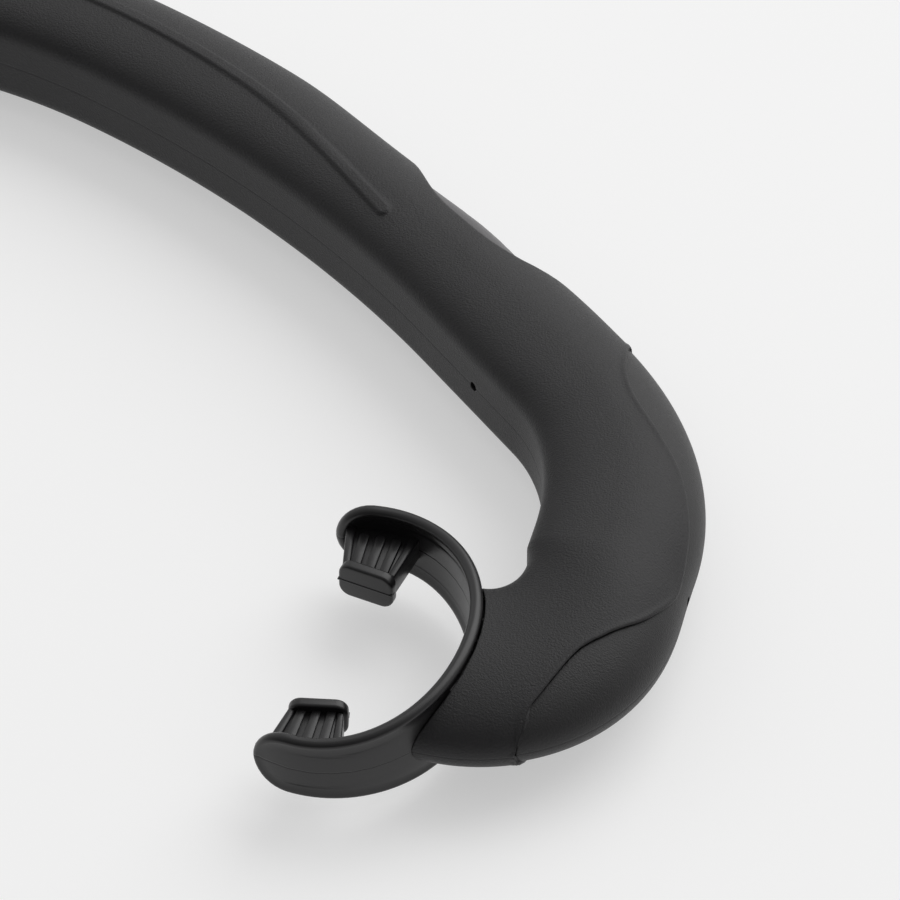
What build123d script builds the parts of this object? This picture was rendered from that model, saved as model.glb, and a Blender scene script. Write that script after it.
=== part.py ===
"""Breathing snorkel, lying on its flank.

Everything is in millimetres.  The origin is the middle of the throat, where the mouthpiece meets the
tube.  The tube's centreline lies in the plane z = 0, the mouth opens towards -X, and +Z is up, square
to one flank.  The air path runs from the throat towards +X, round the elbow, up the riser, over the
shoulder, along the lower run, round the long back bend and the crown bend, and along the top run,
which points to -X.
"""
import os
from math import cos, radians, sin

from build123d import *

# --- the tube's section: a flat inner face, crowned flanks and a round back ---
tube_half_width = 14.0
tube_half_depth = 11.5
inner_flat_half = 6.0
inner_flat_share = 0.55
crown_shift = 1.4
corner_pull = 0.7
shelf_pull = 0.6

# --- walls, each measured inwards from the skin's surface ---
skin_wall = 1.8
core_wall = 1.4
neck_wall = 1.4
pad_step = 0.5

# --- the elbow, a fan of sections about its pivot ---
pivot_x = -1.0
pivot_y = 29.0
mouth_half_width = 19.1
mouth_half_depth = 9.5
mouth_drop = 1.9
elbow_inner_reach = 5.6
elbow_fullness = 0.88
elbow_step = 15.0
riser_half_width = 15.8
riser_half_depth = 12.4
riser_length = 5.5
stub_length = 8.0

# --- shoulder, lower run, back bend, crown bend and top run ---
shoulder_radius = 56.0
shoulder_turn = 48.5
shoulder_fullness = 1.7
lower_run = 30.0
back_bend_radius = 270.0
back_bend_turn = 21.5
crown_bend_radius = 140.0
top_run = 95.0
station_pitch = 12.0

# --- a shallow saddle in the back of the back bend, above the window ---
saddle_depth = 1.6
saddle_turn = 56.5
saddle_half_turn = 6.5

# --- moulded details of the skin ---
rail_width = 2.6
rail_height = 0.7
rail_root = 1.0
rail_back_points = ((53.7, -5.9), (58.5, -2.7), (63.0, -0.6), (68.0, 0.6))
rail_crown_points = ((74.0, 1.0), (79.0, 1.0), (84.0, 1.0))
pin_hole_radius = 0.95
pin_hole_run = 13.0
window_length = 54.0
window_half_height = 8.7
window_turn = 51.9

# --- the pad's edge: turn round the elbow or the shoulder, and how far it runs inside the bend's back ---
pad_elbow_points = ((-67.5, 5.8), (-52.0, 11.3), (-38.0, 9.6), (-22.0, 4.7), (-4.0, 1.6))
pad_shoulder_points = ((14.7, 4.9), (25.0, 8.0), (34.0, 9.6), (41.0, 8.0), (47.0, 3.8))
pad_lower_turn = -72.0
pad_upper_turn = 51.0

# --- how far the shapes that only cut run past the surface they cut ---
cut_reach = 3.0
end_cut = 1.0

# --- mouthpiece ---
shield_depth = 25.8
shield_half_width = 31.8
shield_wall = 1.9
shield_back = 2.4
shield_rise = 1.0
shield_tip = 9.6
shield_half_height = 10.4
shield_tip_half_height = 7.2
shield_tip_round = 6.6
neck_turn = -68.0
spigot_overlap_turn = 3.0
tab_base = 14.5
tab_end = 9.8
tab_thickness = 4.6
tab_centre = -23.6
tab_reach = 17.6
tab_root_depth = 0.9
plate_length = 11.2
plate_height = 7.6
plate_thickness = 2.4
plate_toe = 10.5
plate_round = 2.5
rib_pitch = 3.5
rib_width = 2.2
rib_height = 0.6
rib_root = 0.5
rib_length = 8.4
rib_middle = 23.2

# --- guard at the open end ---
guard_sleeve = 8.0
guard_rim = 10.0
guard_proud = 0.8
guard_bore_radius = 9.6

# --- strap keeper ---
keeper_clearance = 0.3
keeper_wall = 1.8
keeper_length = 16.0
boss_radius = 5.6
boss_height = 1.0
stud_radius = 2.5
stud_head_radius = 4.4
stud_head_height = 1.4
stud_head_chamfer = 0.5
stud_root = 2.0
swivel_clearance = 0.08
clip_gap = 0.3
clip_length = 31.0
clip_thickness = 3.0
slot_length = 24.0
slot_width = 4.8
slot_inner_edge = 4.2
slot_round = 1.2
clip_bar = 2.4
edge_round = 0.6

# --- worked out from the values above ---
quarter = 0.5523
riser_x = pivot_x + elbow_inner_reach + riser_half_width
shield_centre_x = shield_back - shield_depth
riser_top_y = pivot_y + riser_length
shoulder_centre_x = riser_x - shoulder_radius
bore_inset = skin_wall + core_wall
spigot_outer_inset = skin_wall + neck_wall
spigot_bore_inset = spigot_outer_inset + core_wall


def between(start, end, share):
    return start + (end - start) * share


def direction(turn):
    return Vector(cos(radians(turn)), sin(radians(turn)))


def polar(centre, turn, reach):
    return centre + direction(turn) * reach


def run_plane(point, heading):
    """Plane across the tube: local x points to the inner side of the bends, local y is up."""
    return Plane(origin=point, x_dir=direction(heading + 90), z_dir=direction(heading))


def fan_plane(centre, turn, inner, outer):
    """Plane through a bend's centre, placed midway between the tube's inner and outer reach."""
    return run_plane(polar(centre, turn, (inner + outer) / 2), turn + 90)


def tube_section(plane, half_width, half_depth, inset):
    """Closed section: flat inner face, crowned flanks and a round back, all moved in by the inset."""
    w = half_width - inset
    d = half_depth - inset
    flat = min(inner_flat_half, inner_flat_share * half_depth) * d / half_depth
    shoulder = (w, flat + corner_pull * (d - flat))
    shelf = (crown_shift + shelf_pull * (w - crown_shift), d)
    crown = (crown_shift - quarter * (w + crown_shift), d)
    with BuildSketch(plane) as section:
        with BuildLine():
            Line((w, -flat), (w, flat))
            for side in (1, -1):
                Bezier(
                    (w, side * flat),
                    (shoulder[0], side * shoulder[1]),
                    (shelf[0], side * shelf[1]),
                    (crown_shift, side * d),
                )
                Bezier(
                    (crown_shift, side * d),
                    (crown[0], side * crown[1]),
                    (-w, side * quarter * d),
                    (-w, 0),
                )
        make_face()
    return section.sketch


pivot = Vector(pivot_x, pivot_y)
shoulder_centre = Vector(shoulder_centre_x, riser_top_y)
mouth_inner = pivot_y + mouth_drop - mouth_half_width
mouth_outer = pivot_y + mouth_drop + mouth_half_width
riser_outer = elbow_inner_reach + 2 * riser_half_width
shoulder_inner = shoulder_radius - riser_half_width
shoulder_outer = shoulder_radius + riser_half_width
tube_inner = shoulder_radius - tube_half_width
tube_outer = shoulder_radius + tube_half_width
shoulder_end = polar(shoulder_centre, shoulder_turn, shoulder_radius)
lower_heading = 90 + shoulder_turn
lower_direction = direction(lower_heading)
lower_inward = direction(lower_heading + 90)
back_centre = shoulder_end + lower_direction * lower_run + lower_inward * back_bend_radius
crown_start_turn = shoulder_turn + back_bend_turn
crown_centre = polar(back_centre, crown_start_turn, back_bend_radius - crown_bend_radius)
top_y = crown_centre.Y + crown_bend_radius
top_start_x = crown_centre.X
core_end_x = top_start_x - top_run
skin_end_x = core_end_x + guard_sleeve
open_end_x = core_end_x - guard_rim


def elbow_reaches(turn):
    """Inner reach, outer reach and half depth of the elbow, from the mouth (-90) to the riser (0)."""
    share = (-turn / 90) ** elbow_fullness
    ease = share * share * (3 - 2 * share)
    inner = between(elbow_inner_reach, mouth_inner, ease)
    outer = between(riser_outer, mouth_outer, ease)
    return inner, outer, between(riser_half_depth, mouth_half_depth, ease)


def shoulder_reaches(turn):
    """Inner reach, outer reach and half depth of the shoulder, from the riser (0) to the lower run."""
    share = turn / shoulder_turn
    inner = between(shoulder_inner, tube_inner, share)
    outer = between(shoulder_outer, tube_outer + shoulder_fullness, share)
    return inner, outer, between(riser_half_depth, tube_half_depth, share)


def steps_over(length):
    return max(2, round(length / station_pitch))


def fan_station(centre, turn, reaches):
    inner, outer, depth = reaches(turn)
    return fan_plane(centre, turn, inner, outer), (outer - inner) / 2, depth


def bend_stations(inset):
    """The sections of the bend, from the throat to the lower run: plane, half width, half depth."""
    stations = []
    for share in (1.0, 0.5, 0.2):
        x = pivot_x - share * (stub_length + inset)
        stations.append((run_plane(Vector(x, -mouth_drop), 0), mouth_half_width, mouth_half_depth))
    for step in range(round(90 / elbow_step), -1, -1):
        stations.append(fan_station(pivot, -step * elbow_step, elbow_reaches))
    riser_middle = Vector(riser_x, pivot_y + riser_length / 2)
    stations.append((run_plane(riser_middle, 90), riser_half_width, riser_half_depth))
    steps = steps_over(shoulder_radius * radians(shoulder_turn))
    for step in range(steps + 1):
        stations.append(fan_station(shoulder_centre, shoulder_turn * step / steps, shoulder_reaches))
    steps = steps_over(lower_run)
    for step in range(1, steps):
        fullness = shoulder_fullness * (1 - (step / steps) ** 3)
        point = shoulder_end + lower_direction * (lower_run * step / steps)
        plane = run_plane(point - lower_inward * (fullness / 2), lower_heading)
        stations.append((plane, tube_half_width + fullness / 2, tube_half_depth))
    return stations


def back_reaches(turn):
    """Inner reach, outer reach and half depth of the back bend, with the saddle in its back."""
    share = (turn - saddle_turn) / saddle_half_turn
    saddle = saddle_depth * (1 - share * share) ** 2 if abs(share) < 1 else 0
    inner = back_bend_radius - tube_half_width
    return inner, back_bend_radius + tube_half_width - saddle, tube_half_depth


def upper_stations(end_x):
    """The sections round the back bend and the crown bend, then along the top run to end_x."""
    stations = []
    steps = steps_over(back_bend_radius * radians(back_bend_turn))
    for step in range(steps + 1):
        turn = shoulder_turn + back_bend_turn * step / steps
        stations.append(fan_station(back_centre, turn, back_reaches))
    steps = steps_over(crown_bend_radius * radians(90 - crown_start_turn))
    for step in range(1, steps + 1):
        turn = between(crown_start_turn, 90, step / steps)
        plane = run_plane(polar(crown_centre, turn, crown_bend_radius), turn + 90)
        stations.append((plane, tube_half_width, tube_half_depth))
    steps = steps_over(top_start_x - end_x)
    for step in range(1, steps + 1):
        x = between(top_start_x, end_x, step / steps)
        stations.append((run_plane(Vector(x, top_y), 180), tube_half_width, tube_half_depth))
    return stations


def tube_body(inset, end_x):
    """The whole tube as a solid, from inside the mouthpiece to end_x, with its surface moved in."""
    stations = bend_stations(inset) + upper_stations(end_x)
    with BuildPart() as tube:
        loft([tube_section(plane, width, depth, inset) for plane, width, depth in stations])
    return tube.part


def clear_of(solid, *cutters):
    with BuildPart() as cut:
        add(solid)
        for cutter in cutters:
            add(cutter, mode=Mode.SUBTRACT)
    return cut.part


def inside(solid, region):
    with BuildPart() as common:
        add(solid)
        add(region, mode=Mode.INTERSECT)
    return common.part


def neck_region(turn):
    """Block that holds the mouth end of the tube, up to a plane through the elbow's pivot."""
    far = 3 * mouth_half_width
    with BuildPart() as block:
        with BuildSketch():
            with BuildLine():
                corner = polar(pivot, turn, far)
                Polyline(pivot, corner, (-far, corner.Y), (-far, pivot_y), pivot, close=True)
            make_face()
        extrude(amount=mouth_half_depth + tube_half_depth, both=True)
    return block.part


def shield_cylinder(shrink, half_height):
    """Upright elliptical cylinder of the lip shield's outer face, shrunk by a wall."""
    with BuildPart() as cylinder:
        with BuildSketch(Plane.XY.offset(-half_height)) as outline:
            with Locations((shield_centre_x, shield_rise)):
                Ellipse(shield_depth - shrink, shield_half_width - shrink)
        extrude(amount=2 * half_height)
    return cylinder.part


# --- solids of the tube, each with its surface moved in by a wall ---
skin_solid = tube_body(0, skin_end_x)
pad_solid = tube_body(pad_step, skin_end_x - end_cut)
core_solid = tube_body(skin_wall, core_end_x)
bore_solid = tube_body(bore_inset, core_end_x - end_cut)
spigot_bore = tube_body(spigot_bore_inset, core_end_x - end_cut)
mouth_bay = shield_cylinder(0, 2 * tube_half_depth)

# --- the outside of the bend that the pad covers, and the edge it shares with the skin ---
pad_edge = [polar(pivot, pad_lower_turn, mouth_outer + cut_reach)]
for turn, margin in pad_elbow_points:
    pad_edge.append(polar(pivot, turn, elbow_reaches(turn)[1] - margin))
for turn, margin in pad_shoulder_points:
    pad_edge.append(polar(shoulder_centre, turn, shoulder_reaches(turn)[1] - margin))
pad_edge.append(polar(shoulder_centre, pad_upper_turn, tube_outer + shoulder_fullness + cut_reach))
with BuildPart() as pad_region:
    with BuildSketch():
        with BuildLine():
            edge = Spline(pad_edge)
            out_x = riser_x + 2 * riser_half_width
            Polyline(edge @ 1, (out_x, (edge @ 1).Y), (out_x, (edge @ 0).Y), edge @ 0)
        make_face()
    extrude(amount=2 * tube_half_depth, both=True)

# --- the window in the skin's back, and the locating pins' holes ---
window_plane = Plane(
    origin=polar(back_centre, window_turn, back_bend_radius + tube_half_width + cut_reach),
    x_dir=direction(window_turn + 90),
    z_dir=direction(window_turn + 180),
)
with BuildPart() as window:
    with BuildSketch(window_plane):
        with BuildLine():
            ThreePointArc((-window_length / 2, 0), (0, window_half_height), (window_length / 2, 0))
            ThreePointArc((window_length / 2, 0), (0, -window_half_height), (-window_length / 2, 0))
        make_face()
    extrude(amount=tube_half_width)
inner_hole_point = shoulder_end + lower_direction * pin_hole_run + lower_inward * tube_half_width
with BuildPart() as pin_holes:
    with BuildSketch(Plane(origin=inner_hole_point, z_dir=lower_inward)):
        Circle(pin_hole_radius)
    with BuildSketch(Plane(origin=(riser_x, pivot_y, 0), z_dir=(1, 0, 0)).offset(riser_half_width)):
        Circle(pin_hole_radius)
    extrude(amount=skin_wall, both=True)


def rail_edge(shift):
    """The points of one long edge of a rail, shifted outwards from the rail's middle."""
    points = [polar(back_centre, turn, back_bend_radius + reach + shift) for turn, reach in rail_back_points]
    for turn, reach in rail_crown_points:
        points.append(polar(crown_centre, turn, crown_bend_radius + reach + shift))
    return points


with BuildPart() as grip_skin:
    add(clear_of(skin_solid, core_solid, mouth_bay, pad_region.part, window.part, pin_holes.part))
    for side in (1, -1):
        with BuildSketch(Plane.XY.offset(side * (tube_half_depth - rail_root))):
            with BuildLine():
                outer_edge = Spline(rail_edge(rail_width / 2))
                inner_edge = Spline(rail_edge(-rail_width / 2))
                for end, way in ((0, -1), (1, 1)):
                    middle = (outer_edge @ end + inner_edge @ end) / 2
                    cap = middle + (outer_edge % end) * (way * rail_width / 2)
                    ThreePointArc(outer_edge @ end, cap, inner_edge @ end)
            make_face()
        extrude(amount=side * (rail_root + rail_height))
grip_skin.part.label = "grip_skin"

with BuildPart() as bend_pad:
    add(clear_of(inside(pad_solid, pad_region.part), core_solid, mouth_bay, pin_holes.part))
bend_pad.part.label = "bend_pad"

with BuildPart() as core_tube:
    add(clear_of(core_solid, bore_solid, neck_region(neck_turn)))
    add(clear_of(inside(bore_solid, neck_region(neck_turn + spigot_overlap_turn)), spigot_bore))
    add(mouth_bay, mode=Mode.SUBTRACT)
core_tube.part.label = "core_tube"

with BuildPart() as mouthpiece:
    tip_x = shield_centre_x - shield_tip
    add(clear_of(shield_cylinder(0, shield_half_height), shield_cylinder(shield_wall, shield_half_height)))
    with BuildSketch(Plane.XZ):
        with BuildLine():
            for side in (1, -1):
                back_end = (shield_centre_x, side * shield_tip_half_height)
                Line((shield_back, side * shield_half_height), back_end)
                round_start = (tip_x + shield_tip_round, side * shield_tip_half_height)
                Line(back_end, round_start)
                Bezier(
                    round_start,
                    (tip_x + (1 - quarter) * shield_tip_round, side * shield_tip_half_height),
                    (tip_x, side * quarter * shield_tip_half_height),
                    (tip_x, 0),
                )
            Line((shield_back, shield_half_height), (shield_back, -shield_half_height))
        make_face()
    extrude(amount=shield_half_width + shield_rise, both=True, mode=Mode.INTERSECT)
    neck = inside(core_solid, neck_region(neck_turn))
    add(clear_of(neck, shield_cylinder(shield_wall / 2, 2 * tube_half_depth)))
    add(bore_solid, mode=Mode.SUBTRACT)
    for side in (1, -1):
        with BuildSketch(Plane.XY.offset(-tab_thickness / 2)):
            with BuildLine():
                root_y = shield_rise + side * (shield_half_width - shield_wall / 2 - tab_root_depth)
                end_y = shield_rise + side * tab_reach
                Polyline(
                    (tab_centre - tab_base / 2, root_y),
                    (tab_centre + tab_base / 2, root_y - side * tab_root_depth),
                    (tab_centre + tab_end / 2, end_y),
                    (tab_centre - tab_end / 2, end_y),
                    close=True,
                )
            make_face()
        extrude(amount=tab_thickness)
        plate_plane = Plane(
            origin=(tab_centre, shield_rise + side * tab_reach, 0),
            x_dir=(cos(radians(plate_toe)), -side * sin(radians(plate_toe)), 0),
            z_dir=(side * sin(radians(plate_toe)), cos(radians(plate_toe)), 0),
        )
        with BuildSketch(plate_plane):
            RectangleRounded(plate_length, plate_height, plate_round)
        extrude(amount=plate_thickness / 2, both=True)
        for face in (1, -1):
            with BuildSketch(Plane.XY.offset(face * (tab_thickness / 2 - rib_root))):
                for row in (-1, 0, 1):
                    with Locations((tab_centre + row * rib_pitch, shield_rise + side * rib_middle)):
                        SlotOverall(rib_length, rib_width, rotation=90)
            extrude(amount=face * (rib_root + rib_height))
mouthpiece.part.label = "mouthpiece"

with BuildPart() as top_guard:
    with BuildSketch(run_plane(Vector(skin_end_x, top_y), 180)):
        add(tube_section(Plane.XY, tube_half_width, tube_half_depth, -guard_proud))
    extrude(amount=skin_end_x - open_end_x)
    add(core_solid, mode=Mode.SUBTRACT)
    with BuildSketch(run_plane(Vector(open_end_x, top_y), 0)):
        Circle(guard_bore_radius)
    extrude(amount=guard_rim, mode=Mode.SUBTRACT)
top_guard.part.label = "top_guard"

# --- the strap keeper rides on the top run, midway between the crown bend and the guard ---
keeper_x = (top_start_x + skin_end_x) / 2
keeper_inner = -keeper_clearance
keeper_outer = keeper_inner - keeper_wall
boss_base_y = top_y - tube_half_width + keeper_outer
boss_face_y = boss_base_y - boss_height
clip_top_y = boss_face_y - clip_gap
clip_under_y = clip_top_y - clip_thickness
head_top_y = clip_under_y - clip_gap
with BuildPart() as keeper_collar:
    collar_plane = run_plane(Vector(keeper_x + keeper_length / 2, top_y), 180)
    with BuildSketch(collar_plane):
        add(tube_section(Plane.XY, tube_half_width, tube_half_depth, keeper_outer))
        add(tube_section(Plane.XY, tube_half_width, tube_half_depth, keeper_inner), mode=Mode.SUBTRACT)
    extrude(amount=keeper_length)
    with BuildSketch(Plane(origin=(keeper_x, boss_face_y, 0), z_dir=(0, 1, 0))):
        Circle(boss_radius)
    extrude(amount=boss_height + keeper_wall / 2)
    with BuildSketch(Plane(origin=(keeper_x, boss_face_y, 0), z_dir=(0, 1, 0))):
        Circle(stud_radius)
    extrude(amount=stud_root, mode=Mode.SUBTRACT)
keeper_collar.part.label = "keeper_collar"

with BuildPart() as clip_stud:
    with BuildSketch(Plane(origin=(keeper_x, boss_face_y + stud_root, 0), z_dir=(0, -1, 0))):
        Circle(stud_radius)
    extrude(amount=boss_face_y + stud_root - head_top_y)
    with BuildSketch(Plane(origin=(keeper_x, head_top_y, 0), z_dir=(0, -1, 0))):
        Circle(stud_head_radius)
    extrude(amount=stud_head_height)
    chamfer(clip_stud.faces().sort_by(Axis.Y)[0].edges(), stud_head_chamfer)
clip_stud.part.label = "clip_stud"

clip_half_width = slot_inner_edge + slot_width + clip_bar
with BuildPart() as strap_clip:
    with BuildSketch(Plane(origin=(keeper_x, clip_top_y, 0), x_dir=(1, 0, 0), z_dir=(0, -1, 0))):
        RectangleRounded(clip_length, 2 * clip_half_width, clip_bar)
        with GridLocations(0, 2 * slot_inner_edge + slot_width, 1, 2):
            RectangleRounded(slot_length, slot_width, slot_round, mode=Mode.SUBTRACT)
        Circle(stud_radius + swivel_clearance, mode=Mode.SUBTRACT)
    extrude(amount=clip_thickness)
    chamfer(strap_clip.faces().sort_by(Axis.Y)[0].outer_wire().edges(), edge_round)
    chamfer(strap_clip.faces().sort_by(Axis.Y)[-1].outer_wire().edges(), edge_round)
strap_clip.part.label = "strap_clip"

os.makedirs("parts", exist_ok=True)
export_step(core_tube.part, "parts/core_tube.step")
export_step(grip_skin.part, "parts/grip_skin.step")
export_step(bend_pad.part, "parts/bend_pad.step")
export_step(mouthpiece.part, "parts/mouthpiece.step")
export_step(top_guard.part, "parts/top_guard.step")
export_step(keeper_collar.part, "parts/keeper_collar.step")
export_step(clip_stud.part, "parts/clip_stud.step")
export_step(strap_clip.part, "parts/strap_clip.step")
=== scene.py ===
from math import asin, cos, pi, radians, sin, sqrt

import bpy
from mathutils import Euler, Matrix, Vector, kdtree


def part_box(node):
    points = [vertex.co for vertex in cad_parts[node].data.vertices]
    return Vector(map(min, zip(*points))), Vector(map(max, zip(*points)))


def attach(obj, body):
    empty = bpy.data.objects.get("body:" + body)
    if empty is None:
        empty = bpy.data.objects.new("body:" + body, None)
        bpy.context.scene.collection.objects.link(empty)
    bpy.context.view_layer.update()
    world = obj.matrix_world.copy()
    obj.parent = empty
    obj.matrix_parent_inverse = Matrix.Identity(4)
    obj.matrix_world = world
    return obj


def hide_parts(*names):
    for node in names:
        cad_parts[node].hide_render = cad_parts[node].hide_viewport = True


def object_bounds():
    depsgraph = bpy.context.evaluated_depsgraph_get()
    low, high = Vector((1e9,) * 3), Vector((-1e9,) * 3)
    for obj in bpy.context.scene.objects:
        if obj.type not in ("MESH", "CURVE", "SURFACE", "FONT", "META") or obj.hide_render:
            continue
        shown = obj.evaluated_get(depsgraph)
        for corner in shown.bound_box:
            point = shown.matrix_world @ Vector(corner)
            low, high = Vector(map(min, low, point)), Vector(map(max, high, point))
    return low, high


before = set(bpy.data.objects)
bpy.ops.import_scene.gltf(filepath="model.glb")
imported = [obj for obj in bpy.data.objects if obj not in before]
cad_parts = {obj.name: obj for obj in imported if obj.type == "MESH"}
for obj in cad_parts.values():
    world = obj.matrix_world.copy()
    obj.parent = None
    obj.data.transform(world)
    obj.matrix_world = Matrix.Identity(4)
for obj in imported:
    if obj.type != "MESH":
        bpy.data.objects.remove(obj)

cad_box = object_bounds()

# ------------------------------------------------------------------ grip skin
# The soft-touch rubber jacket, moulded over the core in one shot.  It runs from the lip shield round
# the elbow, the shoulder and the long back bend to the open end.  It leaves the back of the bend to the
# pad, has a long narrow window behind, and carries a low rail on each flank.
mm = 0.001
tube_half_width = 14.0 * mm
tube_half_depth = 11.5 * mm
inner_flat_half = 6.0 * mm
inner_flat_share = 0.55
crown_shift = 1.4 * mm
corner_pull = 0.7
shelf_pull = 0.6
quarter = 0.5523
flat_end = 0.15
crown_at = 0.46
pivot = Vector((-1.0 * mm, 29.0 * mm))
mouth_half_width = 19.1 * mm
mouth_half_depth = 9.5 * mm
mouth_drop = 1.9 * mm
elbow_inner_reach = 5.6 * mm
elbow_fullness = 0.88
riser_half_width = 15.8 * mm
riser_half_depth = 12.4 * mm
shoulder_radius = 56.0 * mm
shoulder_turn = 48.5
shoulder_fullness = 1.7 * mm
back_bend_radius = 270.0 * mm
back_bend_turn = 21.5
crown_bend_radius = 140.0 * mm
saddle_depth = 1.6 * mm
saddle_turn = 56.5
saddle_half_turn = 6.5
stub_length = 8.0 * mm
elbow_length = 40.0 * mm
riser_length = 5.5 * mm
shoulder_length = shoulder_radius * radians(shoulder_turn)
lower_run = 30.0 * mm
back_bend_length = back_bend_radius * radians(back_bend_turn)
crown_start_turn = shoulder_turn + back_bend_turn
crown_bend_length = crown_bend_radius * radians(90 - crown_start_turn)
top_run = 87.0 * mm

elbow_at = stub_length
riser_at = elbow_at + elbow_length
shoulder_at = riser_at + riser_length
lower_at = shoulder_at + shoulder_length
back_at = lower_at + lower_run
crown_at_place = back_at + back_bend_length
top_at = crown_at_place + crown_bend_length
path_end = top_at + top_run


def between(start, end, share):
    return start + (end - start) * share


def ease(share):
    share = min(max(share, 0.0), 1.0)
    return share * share * (3 - 2 * share)


def direction(turn):
    return Vector((cos(radians(turn)), sin(radians(turn))))


riser_outer = elbow_inner_reach + 2 * riser_half_width
riser_x = pivot.x + elbow_inner_reach + riser_half_width
shoulder_centre = Vector((riser_x - shoulder_radius, pivot.y + riser_length))
lower_start = shoulder_centre + direction(shoulder_turn) * shoulder_radius
back_start = lower_start + direction(shoulder_turn + 90) * lower_run
back_centre = back_start - direction(shoulder_turn) * back_bend_radius
crown_centre = back_centre + direction(crown_start_turn) * (back_bend_radius - crown_bend_radius)
top_y = crown_centre.y + crown_bend_radius


def station(place):
    """Centre, heading in degrees, half width and half depth of the pipe at a distance along its path."""
    if place < elbow_at:
        return Vector((pivot.x - elbow_at + place, -mouth_drop)), 0, mouth_half_width, mouth_half_depth
    if place < riser_at:
        turn = 90 * (place - elbow_at) / elbow_length - 90
        share = ease((-turn / 90) ** elbow_fullness)
        inner = between(elbow_inner_reach, pivot.y + mouth_drop - mouth_half_width, share)
        outer = between(riser_outer, pivot.y + mouth_drop + mouth_half_width, share)
        depth = between(riser_half_depth, mouth_half_depth, share)
        return pivot + direction(turn) * (inner + outer) / 2, turn + 90, (outer - inner) / 2, depth
    if place < shoulder_at:
        return Vector((riser_x, pivot.y + place - riser_at)), 90, riser_half_width, riser_half_depth
    if place < lower_at:
        share = (place - shoulder_at) / shoulder_length
        turn = share * shoulder_turn
        width = between(riser_half_width, tube_half_width, ease(share))
        depth = between(riser_half_depth, tube_half_depth, ease(share))
        fullness = shoulder_fullness * share
        centre = shoulder_centre + direction(turn) * (shoulder_radius + fullness / 2)
        return centre, turn + 90, width + fullness / 2, depth
    if place < back_at:
        heading = shoulder_turn + 90
        fullness = shoulder_fullness * (1 - ((place - lower_at) / lower_run) ** 3)
        centre = lower_start + direction(heading) * (place - lower_at)
        centre += direction(shoulder_turn) * (fullness / 2)
        return centre, heading, tube_half_width + fullness / 2, tube_half_depth
    if place < crown_at_place:
        turn = shoulder_turn + back_bend_turn * (place - back_at) / back_bend_length
        share = (turn - saddle_turn) / saddle_half_turn
        saddle = saddle_depth * (1 - share * share) ** 2 if abs(share) < 1 else 0.0
        centre = back_centre + direction(turn) * (back_bend_radius - saddle / 2)
        return centre, turn + 90, tube_half_width - saddle / 2, tube_half_depth
    if place < top_at:
        turn = between(crown_start_turn, 90, (place - crown_at_place) / crown_bend_length)
        centre = crown_centre + direction(turn) * crown_bend_radius
        return centre, turn + 90, tube_half_width, tube_half_depth
    return Vector((crown_centre.x - (place - top_at), top_y)), 180, tube_half_width, tube_half_depth


def bezier(ends, pulls, share):
    back = 1 - share
    start = back ** 3 * ends[0] + 3 * back ** 2 * share * pulls[0]
    return start + 3 * back * share ** 2 * pulls[1] + share ** 3 * ends[1]


def half_section(girth, width, depth):
    """Inward reach and height at a share of the way round: flat inner face, crowned flank, round back."""
    flat = min(inner_flat_half, inner_flat_share * depth)
    if girth < flat_end:
        return width, flat * girth / flat_end
    if girth < crown_at:
        share = (girth - flat_end) / (crown_at - flat_end)
        shelf = crown_shift + shelf_pull * (width - crown_shift)
        reach = bezier((width, crown_shift), (width, shelf), share)
        return reach, bezier((flat, depth), (flat + corner_pull * (depth - flat), depth), share)
    share = (girth - crown_at) / (1 - crown_at)
    reach = bezier((crown_shift, -width), (crown_shift - quarter * (width + crown_shift), -width), share)
    return reach, bezier((depth, 0), (depth, quarter * depth), share)


def pipe_point(place, girth, side=1, inset=0.0):
    centre, heading, width, depth = station(place)
    reach, height = half_section(girth, width - inset, depth - inset)
    flat_point = centre + direction(heading + 90) * reach
    return Vector((flat_point.x, flat_point.y, side * height))


def girth_where(test, low, high):
    """Share of the way round where a test turns true, found by halving."""
    for _ in range(24):
        middle = (low + high) / 2
        if test(middle):
            high = middle
        else:
            low = middle
    return (low + high) / 2


def smooth_through(points, place):
    """Value at a place on a smooth curve through (place, value) points, held at both ends."""
    if place <= points[0][0]:
        return points[0][1]
    for index in range(len(points) - 1):
        (x0, y0), (x1, y1) = points[index], points[index + 1]
        if place <= x1:
            before = points[max(index - 1, 0)]
            after = points[min(index + 2, len(points) - 1)]
            slope0 = (y1 - before[1]) / (x1 - before[0])
            slope1 = (after[1] - y0) / (after[0] - x0)
            span = x1 - x0
            t = (place - x0) / span
            rise = (2 * t ** 3 - 3 * t ** 2 + 1) * y0 + (3 * t ** 2 - 2 * t ** 3) * y1
            return rise + span * ((t ** 3 - 2 * t ** 2 + t) * slope0 + (t ** 3 - t ** 2) * slope1)
    return points[-1][1]


skin_wall = 1.8 * mm
shield_depth = 25.8 * mm
shield_half_width = 31.8 * mm
shield_back = 2.4 * mm
shield_rise = 1.0 * mm
shield_centre = Vector((shield_back - shield_depth, shield_rise))
pad_elbow_points = ((-67.5, 5.8), (-52.0, 11.3), (-38.0, 9.6), (-22.0, 4.7), (-4.0, 1.6))
pad_shoulder_points = ((14.7, 4.9), (25.0, 8.0), (34.0, 9.6), (41.0, 8.0), (47.0, 3.8))
pad_lower_turn = -72.0
pad_upper_turn = 51.0
window_turn = 51.4
window_half_length = 26.0 * mm
window_half_height = 10.2 * mm
rail_back_points = ((53.7, 5.9), (58.5, 2.7), (63.0, 0.6), (68.0, -0.6))
rail_crown_points = ((74.0, -1.0), (79.0, -1.0), (84.0, -1.0))
rail_half_width = 1.3 * mm
rail_height = 0.5 * mm
rail_soft = 0.55 * mm
seam_depth = 0.07 * mm
seam_half = 0.22 * mm
skin_lip = 0.45 * mm
bead_height = 0.2 * mm
window_lip = 1.2 * mm


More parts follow.
